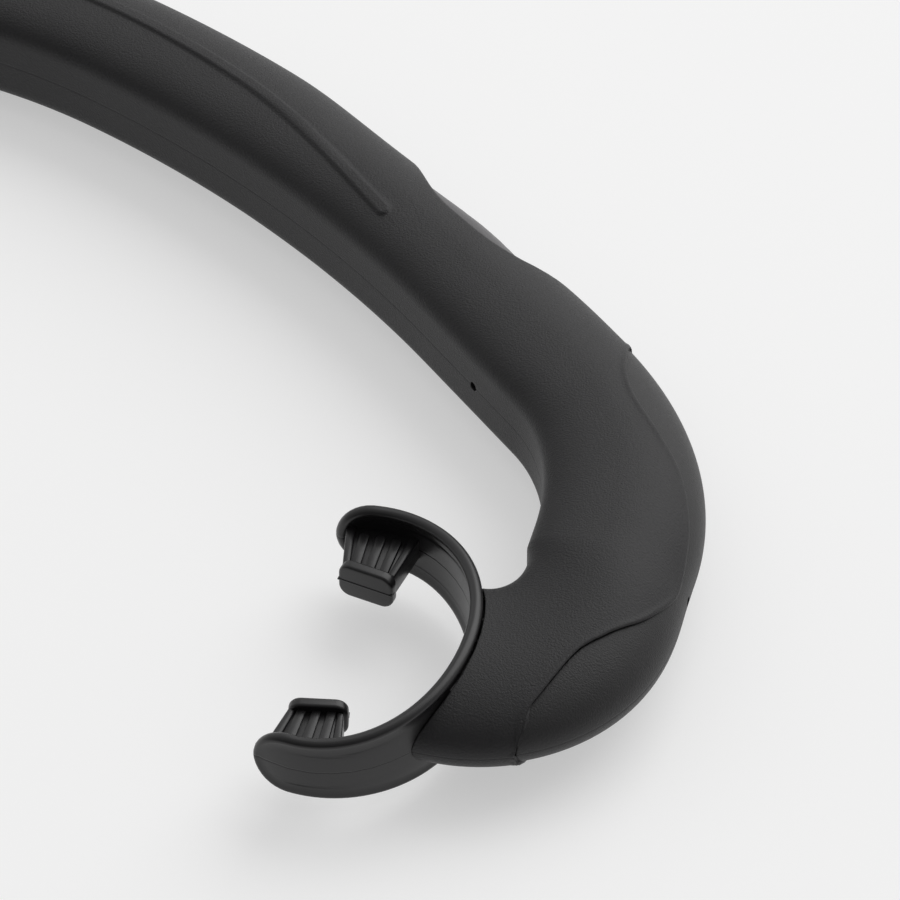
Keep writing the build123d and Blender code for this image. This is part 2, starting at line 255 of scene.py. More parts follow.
def elbow_place(turn):
    return elbow_at + elbow_length * (turn + 90) / 90


def shoulder_place(turn):
    return shoulder_at + shoulder_length * turn / shoulder_turn


def back_place(turn):
    return back_at + back_bend_radius * radians(turn - shoulder_turn)


def crown_place(turn):
    return crown_at_place + crown_bend_radius * radians(turn - crown_start_turn)


pad_start = elbow_place(pad_lower_turn)
pad_end = shoulder_place(pad_upper_turn)
pad_margins = [(pad_start, 0.0)]
pad_margins += [(elbow_place(turn), margin * mm) for turn, margin in pad_elbow_points]
pad_margins += [(shoulder_place(turn), margin * mm) for turn, margin in pad_shoulder_points]
pad_margins.append((pad_end, 0.0))
window_middle = back_place(window_turn)
window_start = window_middle - window_half_length
window_end = window_middle + window_half_length
rail_route = [(back_place(turn), reach * mm) for turn, reach in rail_back_points]
rail_route += [(crown_place(turn), reach * mm) for turn, reach in rail_crown_points]
rail_start = rail_route[0][0]
rail_end = rail_route[-1][0]


def back_edge(place):
    """Share of the way round where the jacket stops: 1 where it closes along the back of the tube."""
    width, depth = station(place)[2:]
    if pad_start < place < pad_end:
        reach = smooth_through(pad_margins, place) - width
        return girth_where(lambda girth: half_section(girth, width, depth)[0] < reach, crown_at, 1.0)
    if window_start < place < window_end:
        share = (place - window_middle) / window_half_length
        height = window_half_height * (1 - abs(share) ** 3)
        return girth_where(lambda girth: half_section(girth, width, depth)[1] < height, crown_at, 1.0)
    return 1.0


def rail_girth(place):
    width, depth = station(place)[2:]
    reach = smooth_through(rail_route, place)
    return girth_where(lambda girth: half_section(girth, width, depth)[0] < reach, flat_end, 0.9)


def spread(start, end, step, dense=(), dense_step=0.3 * mm, dense_half=1.6 * mm):
    """Distances from start to end, a step apart, and closer together round the dense ones."""
    places = [start]
    while places[-1] < end - 1e-7:
        here = places[-1]
        gap = step(here) if callable(step) else step
        for spot in dense:
            away = max(abs(here - spot) - dense_half, 0.0)
            gap = min(gap, dense_step + 0.35 * away)
        places.append(min(here + gap, end))
    return places


skin_rows = spread(
    0.0,
    path_end,
    lambda place: 1.3 * mm if place < lower_at else 2.4 * mm,
    (0.0, pad_start, pad_end, window_start, window_end, rail_start, rail_end, path_end),
)
rail_share = 0.47
half_girth = 41.0 * mm
rail_bundle = [offset * mm / half_girth for offset in (-2.1, -1.6, -1.3, -1.05, -0.8, -0.5, 0.0)]
rail_bundle += [-offset for offset in rail_bundle[-2::-1]]
seam_columns = [0.0, seam_half / 2 / half_girth, seam_half / half_girth, 2.2 * seam_half / half_girth]
rail_foot = rail_share + rail_bundle[0]
inner_columns = seam_columns + [between(seam_columns[-1], rail_foot, n / 20) for n in range(1, 20)]
edge_columns = [1 - share * mm / half_girth for share in (2.6, 1.9, 1.4, 1.0, 0.7, 0.45, 0.25, 0.12, 0.0)]
outer_start = rail_share + rail_bundle[-1]
outer_columns = [between(outer_start, edge_columns[0], n / 16) for n in range(1, 16)] + edge_columns
skin_columns = inner_columns + [rail_share + offset for offset in rail_bundle] + outer_columns


def column_girth(column, rail_at, edge):
    if column < rail_share:
        return rail_at * column / rail_share
    return between(rail_at, edge, (column - rail_share) / (1 - rail_share))


def shield_side(point):
    flat = Vector((point.x, point.y)) - shield_centre
    return (flat.x / shield_depth) ** 2 + (flat.y / shield_half_width) ** 2 - 1


def mouth_end(girth):
    """Place along the path where the pipe comes out of the back of the lip shield."""
    low, high = 0.0, elbow_at + elbow_length / 4
    for _ in range(24):
        middle = (low + high) / 2
        if shield_side(pipe_point(middle, girth)) > 0:
            high = middle
        else:
            low = middle
    return (low + high) / 2


blend_to = elbow_place(-73)
skin_points = []
for place in skin_rows:
    rail_at = rail_girth(place)
    edge = back_edge(place)
    half_row = []
    for column in skin_columns:
        girth = column_girth(column, rail_at, edge)
        along = place
        if place < blend_to:
            along = between(mouth_end(girth), blend_to, place / blend_to)
        half_row.append((along, girth))
    upper = [pipe_point(along, girth) for along, girth in half_row]
    lower = [pipe_point(along, girth, -1) for along, girth in half_row[:0:-1]]
    skin_points.append(upper[::-1] + lower[::-1])


def sheet_mesh(name, rows, closed=False):
    """Mesh of quads through rows of points that all have the same count, joined where they meet."""
    count = len(rows[0])
    points = [point for row in rows for point in row]
    faces = []
    for row in range(len(rows) - 1):
        for column in range(count if closed else count - 1):
            a = row * count + column
            b = row * count + (column + 1) % count
            faces.append((a, b, b + count, a + count))
    mesh = bpy.data.meshes.new(name)
    mesh.from_pydata(points, [], faces)
    piece = bpy.data.objects.new(name, mesh)
    bpy.context.scene.collection.objects.link(piece)
    bpy.ops.object.select_all(action="DESELECT")
    piece.select_set(True)
    bpy.context.view_layer.objects.active = piece
    bpy.ops.object.mode_set(mode="EDIT")
    bpy.ops.mesh.select_all(action="SELECT")
    bpy.ops.mesh.remove_doubles(threshold=0.004 * mm)
    bpy.ops.mesh.normals_make_consistent(inside=False)
    bpy.ops.object.mode_set(mode="OBJECT")
    bpy.ops.object.shade_smooth()
    return piece


def tree_of(points):
    tree = kdtree.KDTree(len(points))
    for index, point in enumerate(points):
        tree.insert(point, index)
    tree.balance()
    return tree


def both_sides(points):
    return points + [Vector((point.x, point.y, -point.z)) for point in points]


def face_outwards(piece):
    """Turns the faces over if the point furthest along +Z faces down."""
    top = max(piece.data.vertices, key=lambda vertex: vertex.co.z)
    if top.normal.z < 0:
        piece.data.flip_normals()


grip_skin = sheet_mesh("grip_skin_moulded", skin_points)


def shape_skin(piece, lips, rail_lines, seam_lines, beads=None):
    """Rounds the edges, raises the rails and cuts the parting line by moving points along their normals."""
    face_outwards(piece)
    moves = []
    for vertex in piece.data.vertices:
        move = 0.0
        for tree, lip in lips:
            away = tree.find(vertex.co)[2]
            if away < lip:
                move = min(move, sqrt(max(lip * lip - (lip - away) ** 2, 0.0)) - lip)
        if beads:
            away = beads.find(vertex.co)[2]
            move += bead_height * ease((1.5 * mm - away) / (0.9 * mm))
        if rail_lines:
            away = rail_lines.find(vertex.co)[2]
            move += rail_height * ease((rail_half_width + rail_soft / 2 - away) / rail_soft)
        if seam_lines and abs(vertex.co.z) < seam_half:
            move -= seam_depth * (1 - abs(vertex.co.z) / seam_half)
        moves.append(vertex.normal * move)
    for vertex, move in zip(piece.data.vertices, moves):
        vertex.co += move


def edge_line(start, end, step=0.2 * mm):
    """Both halves of the jacket's edge along its back, as closely spaced points."""
    count = round((end - start) / step)
    places = [between(start, end, n / count) for n in range(count + 1)]
    return both_sides([pipe_point(place, back_edge(place)) for place in places])


pad_line = edge_line(pad_start, pad_end)
window_line = edge_line(window_start, window_end)
end_line = both_sides([pipe_point(path_end, n / 200) for n in range(201)])
mouth_line = both_sides([pipe_point(mouth_end(n / 200), n / 200) for n in range(201)])
rail_count = round((rail_end - rail_start) / (0.4 * mm))
rail_places = [between(rail_start, rail_end, n / rail_count) for n in range(rail_count + 1)]
rail_line = both_sides([pipe_point(place, rail_girth(place)) for place in rail_places])
lips = [
    (tree_of(pad_line), skin_lip),
    (tree_of(window_line), window_lip),
    (tree_of(end_line), skin_lip),
    (tree_of(mouth_line), skin_lip / 2),
]
shape_skin(grip_skin, lips, tree_of(rail_line), True, tree_of(pad_line))


def give_wall(piece, wall):
    solidify = piece.modifiers.new("wall", "SOLIDIFY")
    solidify.thickness = wall
    solidify.offset = -1
    solidify.use_rim = True
    bpy.context.view_layer.objects.active = piece
    bpy.ops.object.modifier_apply(modifier="wall")


give_wall(grip_skin, skin_wall - 0.02 * mm)
pin_hole_radius = 0.95 * mm
pin_hole_depth = 1.6 * mm
pin_hole_run = 13.0 * mm


def drill(piece, point, axis, radius, depth):
    """Cuts a round blind hole into a piece, square to its surface."""
    bpy.ops.object.select_all(action="DESELECT")
    bpy.ops.mesh.primitive_cylinder_add(vertices=32, radius=radius, depth=2 * depth, location=point)
    cutter = bpy.context.object
    cutter.rotation_euler = axis.to_track_quat("Z", "Y").to_euler()
    bpy.context.view_layer.update()
    hole = piece.modifiers.new("hole", "BOOLEAN")
    hole.operation = "DIFFERENCE"
    hole.solver = "EXACT"
    hole.object = cutter
    bpy.context.view_layer.objects.active = piece
    bpy.ops.object.modifier_apply(modifier="hole")
    bpy.data.objects.remove(cutter)


inner_hole = pipe_point(lower_at + pin_hole_run, 0.0)
lower_inward = direction(shoulder_turn + 180).to_3d()
drill(grip_skin, inner_hole, lower_inward, pin_hole_radius, pin_hole_depth)
skin_rubber_colour = (0.0130, 0.0125, 0.0136, 1)


def moulded_finish(name, colour, roughness, grain_size, grain_depth, gloss_level=0.5, mottle=0.1):
    """Moulded rubber or plastic: spark-eroded grain as bump, with slight blotches in colour and gloss."""
    material = bpy.data.materials.new(name)
    material.use_nodes = True
    nodes, links = material.node_tree.nodes, material.node_tree.links
    shader = nodes["Principled BSDF"]
    shader.inputs["Specular IOR Level"].default_value = gloss_level
    place = nodes.new("ShaderNodeTexCoord")
    grain = nodes.new("ShaderNodeTexNoise")
    grain.inputs["Scale"].default_value = 1 / grain_size
    grain.inputs["Detail"].default_value = 3
    grain.inputs["Roughness"].default_value = 0.6
    bump = nodes.new("ShaderNodeBump")
    bump.inputs["Strength"].default_value = 1.0
    bump.inputs["Distance"].default_value = grain_depth
    links.new(place.outputs["Object"], grain.inputs["Vector"])
    links.new(grain.outputs["Fac"], bump.inputs["Height"])
    links.new(bump.outputs["Normal"], shader.inputs["Normal"])
    blotch = nodes.new("ShaderNodeTexNoise")
    blotch.inputs["Scale"].default_value = 90
    blotch.inputs["Detail"].default_value = 4
    links.new(place.outputs["Object"], blotch.inputs["Vector"])
    tone = nodes.new("ShaderNodeValToRGB")
    dark = tuple(channel * (1 - mottle) for channel in colour[:3]) + (1,)
    light = tuple(channel * (1 + mottle) for channel in colour[:3]) + (1,)
    tone.color_ramp.elements[0].color = dark
    tone.color_ramp.elements[0].position = 0.3
    tone.color_ramp.elements[1].color = light
    tone.color_ramp.elements[1].position = 0.7
    links.new(blotch.outputs["Fac"], tone.inputs["Fac"])
    links.new(tone.outputs["Color"], shader.inputs["Base Color"])
    gloss = nodes.new("ShaderNodeMapRange")
    gloss.inputs["To Min"].default_value = roughness - 0.05
    gloss.inputs["To Max"].default_value = roughness + 0.05
    links.new(grain.outputs["Fac"], gloss.inputs["Value"])
    links.new(gloss.outputs["Result"], shader.inputs["Roughness"])
    return material


skin_rubber = moulded_finish("skin_rubber", skin_rubber_colour, 0.5, 0.4 * mm, 0.16 * mm, 0.4)
grip_skin.data.materials.append(skin_rubber)
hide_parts("grip_skin")
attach(grip_skin, "tube")

# ------------------------------------------------------------------ bend pad
# A second shot of soft rubber that wraps the back of the bend.  It sits half a millimetre lower than
# the jacket round it, fills the jacket's opening edge to edge, and carries one pin hole.
pad_step = 0.5 * mm
pad_gap = 0.1 * mm
pad_wall = 1.25 * mm
pad_rows = spread(pad_start, pad_end, 1.2 * mm, (pad_start, pad_end), 0.25 * mm)
pad_columns = [0.0, 0.006, 0.014, 0.03, 0.055, 0.09] + [0.09 + 0.85 * n / 22 for n in range(1, 23)]
pad_columns += [0.97, 0.988, 0.994, 1.0]
pad_points = []
for place in pad_rows:
    edge = min(back_edge(place) + pad_gap / half_girth, 1.0)
    girths = [between(edge, 1.0, column) for column in pad_columns]
    upper = [pipe_point(place, girth, 1, pad_step) for girth in girths]
    lower = [pipe_point(place, girth, -1, pad_step) for girth in girths[-2::-1]]
    pad_points.append(upper + lower)
bend_pad = sheet_mesh("bend_pad_moulded", pad_points)
shape_skin(bend_pad, [(tree_of(pad_line), 0.3 * mm)], None, True)
give_wall(bend_pad, pad_wall)
outer_hole = Vector((riser_x + riser_half_width, pivot.y, 0))
drill(bend_pad, outer_hole, Vector((1, 0, 0)), pin_hole_radius, pin_hole_depth)
pad_colour = (0.0140, 0.0135, 0.0142, 1)
pad_rubber = moulded_finish("pad_rubber", pad_colour, 0.48, 0.36 * mm, 0.14 * mm, 0.42)
bend_pad.data.materials.append(pad_rubber)
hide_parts("bend_pad")
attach(bend_pad, "tube")

# ------------------------------------------------------------------ core tube
# The stiff pipe inside, moulded in satin plastic.  It shows in the window on the back, in the open
# end and down the bore.
core_colour = (0.060, 0.056, 0.060, 1)
core_plastic = moulded_finish("core_plastic", core_colour, 0.4, 0.12 * mm, 0.004 * mm, 0.5, 0.05)
core_tube = bpy.data.objects["core_tube"]


def refinish(node, material):
    for index in range(len(node.material_slots)):
        node.material_slots[index].material = material


refinish(core_tube, core_plastic)

# ------------------------------------------------------------------ mouthpiece
# One soft silicone moulding: a curved lip shield with a rolled rim, an oval bore that runs back into
# the tube, and two ribbed bite tabs with end plates.  Its neck is pushed into the jacket's mouth end.
shield_wall = 1.9 * mm
shield_tip = 9.6 * mm
shield_half_height = 10.4 * mm
shield_tip_half_height = 7.2 * mm
shield_tip_round = 7.5 * mm
shield_barrel = 0.9 * mm
bore_half_width = 15.5 * mm
bore_half_height = 5.6 * mm
bore_lip = 0.6 * mm
neck_turn = -68.0
# Each pair is a distance in from the rim and how far the face stands out there.
rim_back = ((0.0, -0.9), (0.06, -0.45), (0.3, 0.0), (0.75, 0.3), (1.2, 0.22), (1.6, 0.02), (3.0, 0.0))
rim_front = ((3.0, 0.0), (2.3, 0.0), (1.8, 0.16), (1.2, 0.3), (0.7, 0.24), (0.28, -0.1), (0.06, -0.6))

arc_turns = [radians(n / 2) for n in range(0, 321)]
arc_lengths = [0.0]
for n in range(1, len(arc_turns)):
    middle = (arc_turns[n] + arc_turns[n - 1]) / 2
    pace = sqrt((shield_depth * sin(middle)) ** 2 + (shield_half_width * cos(middle)) ** 2)
    arc_lengths.append(arc_lengths[-1] + pace * (arc_turns[n] - arc_turns[n - 1]))


def turn_at(length):
    """Turn round the shield's ellipse at a distance along it from the middle of the throat."""
    away = min(abs(length), arc_lengths[-1] - 0.001 * mm)
    low, high = 0, len(arc_lengths) - 1
    while high - low > 1:
        middle = (low + high) // 2
        if arc_lengths[middle] > away:
            high = middle
        else:
            low = middle
    share = (away - arc_lengths[low]) / (arc_lengths[high] - arc_lengths[low])
    turn = between(arc_turns[low], arc_turns[high], share)
    return turn if length >= 0 else -turn


tip_turn = pi / 2 + asin(shield_tip / shield_depth)
tip_length = next(length for length, turn in zip(arc_lengths, arc_turns) if turn >= tip_turn)


def shield_point(length, height, out):
    """Point of the shield: a distance along it from the throat, a height, and a reach out of its back."""
    turn = turn_at(length)
    outward = Vector((cos(turn) / shield_depth, sin(turn) / shield_half_width)).normalized()
    barrel = shield_barrel * (height / shield_half_height) ** 2
    flat = shield_centre + Vector((shield_depth * cos(turn), shield_half_width * sin(turn)))
    flat += outward * (out - barrel)
    return Vector((flat.x, flat.y, height))


def shield_height(length):
    return between(shield_half_height, shield_tip_half_height, ease(1.15 * abs(length) / tip_length))


rim_quarter = 46
side_columns = [n / rim_quarter for n in range(rim_quarter)] + [0.9905, 0.9965, 1.0]


def rim_outline(share, inset):
    """Length and height of a point on the shield's outline, set in by a distance; share 1 is the tip."""
    straight = tip_length - shield_tip_round
    corner = pi / 2 * shield_tip_round
    run = share * (straight + corner)
    if run < straight:
        return run, shield_height(run) - inset
    turn = (run - straight) / shield_tip_round
    length = straight + (shield_tip_round - inset) * sin(turn)
    return length, (shield_height(length) - inset) * cos(turn)


def bore_outline(share, grow=0.0):
    straight = bore_half_width - bore_half_height
    corner = pi / 2 * bore_half_height
    run = share * (straight + corner)
    if run < straight:
        return run, bore_half_height + grow
    turn = (run - straight) / bore_half_height
    return straight + (bore_half_height + grow) * sin(turn), (bore_half_height + grow) * cos(turn)


def quarters(function):
    """Points all round from a function of (share, side of y, side of z)."""
    ring = [function(share, 1, 1) for share in side_columns]
    ring += [function(share, 1, -1) for share in side_columns[-2::-1]]
    ring += [function(share, -1, -1) for share in side_columns[1:]]
    ring += [function(share, -1, 1) for share in side_columns[-2:0:-1]]
    return ring


def rim_row(inset, out):
    def at(share, side, top):
        length, height = rim_outline(share, inset)
        return shield_point(side * length, top * height, out)
    return quarters(at)


def face_row(share_in, out, inner):
    """Row between the rim bead and an inner outline, on the front or the back of the shield."""
    def at(share, side, top):
        length, height = rim_outline(share, rim_back[-1][0] * mm)
        in_length, in_height = inner(share, side)
        eased = share_in ** 0.9
        return shield_point(
            side * between(length, in_length, eased), top * between(height, in_height, eased), out
        )
    return quarters(at)


def neck_girth(share, side):
    """Share of the way round the pipe's own section that matches one of the shield's columns."""
    return crown_at * (1 - share) if side > 0 else between(crown_at, 1.0, share)


def neck_ring(place, inset):
    return quarters(lambda share, side, top: pipe_point(place, neck_girth(share, side), top, inset))


def bore_ring(place, grow):
    def at(share, side, top):
        centre, heading = station(place)[:2]
        reach, height = bore_outline(share, grow)
        flat = centre + direction(heading + 90) * (side * reach + mouth_drop / 2)
        return Vector((flat.x, flat.y, top * height))
    return quarters(at)


def neck_foot(share, side):
    """Where the neck leaves the shield's back, as a length along the shield and a height."""
    girth = neck_girth(share, side)
    width, depth = station(elbow_at)[2:]
    reach, height = half_section(girth, width - skin_wall, depth - skin_wall)
    return abs(reach - mouth_drop - shield_rise) * 1.03, height


neck_end = elbow_place(neck_turn)
shield_rows = [rim_row(inset * mm, out * mm) for inset, out in rim_back]
shield_rows += [face_row(n / 8, 0.0, neck_foot) for n in range(1, 9)]
neck_inset = skin_wall + 0.05 * mm
shield_rows += [neck_ring(between(elbow_at, neck_end, n / 3), neck_inset) for n in range(1, 4)]
shield_rows += [bore_ring(between(neck_end, elbow_at, n / 3), bore_lip) for n in range(0, 3)]
for sunk, grow in ((0.7 * mm, 0.0), (0.15 * mm, 0.1 * mm)):
    lip = face_row(1.0, sunk - shield_wall, lambda share, side: bore_outline(share, grow))
    shield_rows.append(lip)
for n in range(10, 0, -1):
    front = face_row(n / 10, -shield_wall, lambda share, side: bore_outline(share, bore_lip))
    shield_rows.append(front)
shield_rows += [rim_row(inset * mm, -shield_wall - out * mm) for inset, out in rim_front]
shield_rows.append(shield_rows[0])
mouthpiece = sheet_mesh("mouthpiece_moulded", shield_rows, closed=True)
mould_seam = 0.1 * mm
for vertex in mouthpiece.data.vertices:
    if abs(vertex.co.z) < 0.01 * mm and vertex.co.x < -4 * mm:
        vertex.co -= vertex.normal * mould_seam

tab_centre = -23.6 * mm
tab_root_half = 7.2 * mm
tab_end_half = 4.9 * mm
tab_half_thickness = 2.0 * mm
tab_root = 30.2 * mm
tab_end = 18.0 * mm
tab_edge_half = 1.0 * mm
plate_half_length = 5.6 * mm
plate_half_height = 3.9 * mm
plate_thickness = 2.3 * mm
plate_toe = 10.5
rib_pitch = 3.3 * mm
rib_half = 1.05 * mm
rib_rise = 0.65 * mm
rib_short = 2.2 * mm
rib_taper = 0.82
plate_corner = 2.4 * mm
plate_sink = 0.4 * mm


def soften(piece, width, segments=3, angle=30):
    """Rounds a piece's sharp edges and shades it smooth."""
    bpy.context.view_layer.objects.active = piece
    bevel = piece.modifiers.new("round", "BEVEL")
    bevel.width = width
    bevel.segments = segments
    bevel.limit_method = "ANGLE"
    bevel.angle_limit = radians(angle)
    bpy.ops.object.modifier_apply(modifier="round")
    bpy.ops.object.select_all(action="DESELECT")
    piece.select_set(True)
    bpy.ops.object.shade_smooth_by_angle(angle=radians(50))


def block(name, low, high):
    """Rectangular block between two corners, ready to be shaped."""
    bpy.ops.object.select_all(action="DESELECT")
    middle = (Vector(low) + Vector(high)) / 2
    bpy.ops.mesh.primitive_cube_add(size=1, location=middle, scale=Vector(high) - Vector(low))
    piece = bpy.context.object
    piece.name = name
    bpy.ops.object.transform_apply(location=True, rotation=True, scale=True)
    return piece


def taper(piece, start_y, end_y, end_scale):
    """Narrows a piece in X towards the end at end_y, about the tab's middle."""
    for vertex in piece.data.vertices:
        share = (vertex.co.y - start_y) / (end_y - start_y)
        vertex.co.x = tab_centre + (vertex.co.x - tab_centre) * between(1.0, end_scale, share)


tab_pieces = []
narrow = tab_end_half / tab_root_half
web = block(
    "tab_web",
    (tab_centre - tab_root_half, tab_end, -tab_half_thickness),
    (tab_centre + tab_root_half, tab_root, tab_half_thickness),
)
taper(web, tab_root, tab_end, narrow)
soften(web, 0.5 * mm)
tab_pieces.append(web)
for side in (-1, 1):
    outer = tab_centre + side * (tab_root_half + 0.2 * mm)
    inner = outer - side * 2 * tab_edge_half
    edge_bar = block(
        "tab_edge",
        (min(outer, inner), tab_end, -tab_half_thickness - rib_rise),
        (max(outer, inner), tab_root, tab_half_thickness + rib_rise),
    )
    taper(edge_bar, tab_root, tab_end, narrow)
    soften(edge_bar, 0.45 * mm)
    tab_pieces.append(edge_bar)
for row in (-1, 0, 1):
    middle = tab_centre + row * rib_pitch
    rib = block(
        "tab_rib",
        (middle - rib_half, tab_end, -tab_half_thickness - rib_rise),
        (middle + rib_half, tab_root - rib_short, tab_half_thickness + rib_rise),
    )
    taper(rib, tab_root, tab_end, rib_taper)
    weights = rib.data.attributes.new("bevel_weight_edge", "FLOAT", "EDGE")
    for edge in rib.data.edges:
        first, second = (rib.data.vertices[index].co for index in edge.vertices)
        if abs(first.z - second.z) > tab_half_thickness and first.y > tab_root - 3 * mm:
            weights.data[edge.index].value = 1.0
    bpy.context.view_layer.objects.active = rib
    rounding = rib.modifiers.new("end", "BEVEL")
    rounding.width = rib_half * 0.95
    rounding.segments = 6
    rounding.limit_method = "WEIGHT"
    bpy.ops.object.modifier_apply(modifier="end")
    soften(rib, 0.22 * mm, 2, 40)
    tab_pieces.append(rib)
plate = block(
    "tab_plate",
    (-plate_half_length, -plate_thickness / 2, -plate_half_height),
    (plate_half_length, plate_thickness / 2, plate_half_height),
)
weights = plate.data.attributes.new("bevel_weight_edge", "FLOAT", "EDGE")
for edge in plate.data.edges:
    first, second = (plate.data.vertices[index].co for index in edge.vertices)
    if abs(first.y - second.y) > plate_thickness / 2:
        weights.data[edge.index].value = 1.0
rounding = plate.modifiers.new("corners", "BEVEL")
rounding.width = plate_corner
rounding.segments = 8
rounding.limit_method = "WEIGHT"
bpy.context.view_layer.objects.active = plate
bpy.ops.object.modifier_apply(modifier="corners")
soften(plate, 0.6 * mm, 4, 40)
ridge = block(
    "tab_ridge",
    (-plate_half_length - 0.1 * mm, -plate_thickness / 2 - 0.14 * mm, -0.16 * mm),
    (plate_half_length + 0.1 * mm, 0, 0.16 * mm),
)
soften(ridge, 0.07 * mm, 2)
for piece in (plate, ridge):
    piece.rotation_euler = (0, 0, radians(-plate_toe))
    piece.location = (tab_centre, tab_end - plate_sink, 0)
    tab_pieces.append(piece)


def join(pieces, name):
    bpy.ops.object.select_all(action="DESELECT")
    for piece in pieces:
        piece.select_set(True)
    bpy.context.view_layer.objects.active = pieces[0]
    bpy.ops.object.join()
    joined = bpy.context.object
    joined.name = name
    bpy.ops.object.transform_apply(location=True, rotation=True, scale=True)
    return joined


upper_tab = join(tab_pieces, "upper_tab")
bpy.ops.object.select_all(action="DESELECT")
upper_tab.select_set(True)
bpy.ops.object.duplicate()
lower_tab = bpy.context.object
for vertex in lower_tab.data.vertices:
    vertex.co.y = -vertex.co.y
lower_tab.data.flip_normals()
for tab in (upper_tab, lower_tab):
    for vertex in tab.data.vertices:
        vertex.co.y += shield_rise
mouthpiece = join([mouthpiece, upper_tab, lower_tab], "mouthpiece_moulded")
silicone_colour = (0.0095, 0.0090, 0.0097, 1)
silicone = moulded_finish("silicone", silicone_colour, 0.34, 0.5 * mm, 0.008 * mm, 0.5, 0.08)
mouthpiece.data.materials.clear()
mouthpiece.data.materials.append(silicone)
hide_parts("mouthpiece")
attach(mouthpiece, "tube")

# ------------------------------------------------------------------ top guard
# A soft rubber cap pushed over the open end of the tube.  It follows the tube's section, has rolled
# corners and two shallow grip grooves, and its bore lets the air in.
guard_low, guard_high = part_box("top_guard")
guard_length = guard_high.x - guard_low.x
guard_proud = 0.8 * mm
guard_round = 1.3 * mm
guard_bore = 9.6 * mm
guard_rim_length = 10.0 * mm
guard_bore_round = 0.9 * mm
guard_seat = 2.6 * mm
guard_bends = (pi / 8, pi / 4, pi / 2.6, pi / 2)
groove_depth = 0.45 * mm
groove_half = 0.9 * mm
groove_runs = (5.0 * mm, 8.4 * mm)
guard_girths = [n / 48 for n in range(49)]


def guard_ring(run, drop):
    """Ring of the cap's outside at a distance from its sleeve end, sunk below its surface by a drop."""
    def at(girth, side):
        reach, height = half_section(girth, tube_half_width, tube_half_depth)
        scale_width = (tube_half_width + guard_proud - drop) / tube_half_width
        scale_depth = (tube_half_depth + guard_proud - drop) / tube_half_depth
        return Vector((guard_high.x - run, top_y - reach * scale_width, side * height * scale_depth))
    return [at(girth, 1) for girth in guard_girths] + [at(girth, -1) for girth in guard_girths[-2:0:-1]]


def bore_circle(run, radius):
    count = 2 * (len(guard_girths) - 1)
    turns = [-pi / 2 + 2 * pi * n / count for n in range(count)]
    return [Vector((guard_high.x - run, top_y + radius * sin(turn), radius * cos(turn))) for turn in turns]


guard_runs = [guard_round + (guard_length - 2 * guard_round) * n / 60 for n in range(61)]
guard_rows = [guard_ring(0.15 * mm, guard_seat)]
for turn in guard_bends[::-1]:
    guard_rows.append(guard_ring(guard_round * (1 - sin(turn)), guard_round * (1 - cos(turn))))
for run in guard_runs:
    sunk = sum(groove_depth * max(0.0, 1 - ((run - groove) / groove_half) ** 2) for groove in groove_runs)
    guard_rows.append(guard_ring(run, sunk))
for turn in guard_bends:
    run = guard_length - guard_round * (1 - sin(turn))
    guard_rows.append(guard_ring(run, guard_round * (1 - cos(turn))))
for turn in guard_bends[::-1] + (0,):
    run = guard_length - guard_bore_round * (1 - sin(turn))
    guard_rows.append(bore_circle(run, guard_bore + guard_bore_round * (1 - cos(turn))))
guard_rows += [bore_circle(guard_length - guard_rim_length * n / 4, guard_bore) for n in (2, 3, 4)]
guard_rows.append(guard_ring(guard_length - guard_rim_length, guard_seat + 0.05 * mm))
guard_rows.append(guard_ring(guard_length - guard_rim_length - 0.1 * mm, guard_seat))
guard_rows.append(guard_rows[0])
top_guard = sheet_mesh("top_guard_moulded", guard_rows, closed=True)
guard_colour = (0.0125, 0.0122, 0.0125, 1)
guard_rubber = moulded_finish("guard_rubber", guard_colour, 0.5, 0.28 * mm, 0.03 * mm, 0.36)
top_guard.data.materials.append(guard_rubber)
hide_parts("top_guard")
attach(top_guard, "tube")

# ------------------------------------------------------------------ keeper collar
# A satin plastic sleeve that slides along the top run.  It follows the tube's section with a little
# play and has a round boss on its inner side for the clip's stud.
collar_low, collar_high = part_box("keeper_collar")
collar_middle = (collar_low.x + collar_high.x) / 2
collar_half = (collar_high.x - collar_low.x) / 2
collar_play = 0.3 * mm
collar_wall = 1.8 * mm
collar_round = 0.6 * mm
boss_radius = 5.6 * mm
boss_face = collar_low.y
collar_corner = [(collar_half - collar_round * (1 - sin(turn)), collar_round * (1 - cos(turn)))
                 for turn in (0, pi / 8, pi / 4, pi / 2.6, pi / 2)]


def collar_ring(offset_x, grow):
    def at(girth, side):
        reach, height = half_section(girth, tube_half_width, tube_half_depth)
        scale_width = (tube_half_width + grow) / tube_half_width
        scale_depth = (tube_half_depth + grow) / tube_half_depth
        return Vector((collar_middle + offset_x, top_y - reach * scale_width, side * height * scale_depth))
    return [at(girth, 1) for girth in guard_girths] + [at(girth, -1) for girth in guard_girths[-2:0:-1]]


collar_full = collar_play + collar_wall
# Each pair is a distance in from the collar's end and how deep its groove is there, in millimetres.
collar_groove = ((1.7, 0.0), (1.95, 0.25), (2.3, 0.35), (2.65, 0.25), (2.9, 0.0), (5.0, 0.0))
collar_rows = [collar_ring(offset, collar_full - drop) for offset, drop in collar_corner[::-1]]
for run, drop in collar_groove:
    collar_rows.append(collar_ring(collar_half - run * mm, collar_full - drop * mm))
for run, drop in collar_groove[::-1]:
    collar_rows.append(collar_ring(-collar_half + run * mm, collar_full - drop * mm))
collar_rows += [collar_ring(-offset, collar_full - drop) for offset, drop in collar_corner]
collar_rows += [collar_ring(-collar_half + collar_round / 2, collar_play), collar_ring(0, collar_play),
                collar_ring(collar_half - collar_round / 2, collar_play)]
collar_rows.append(collar_rows[0])
keeper_collar = sheet_mesh("keeper_collar_moulded", collar_rows, closed=True)
bpy.ops.object.select_all(action="DESELECT")
boss_sink = 0.6 * mm
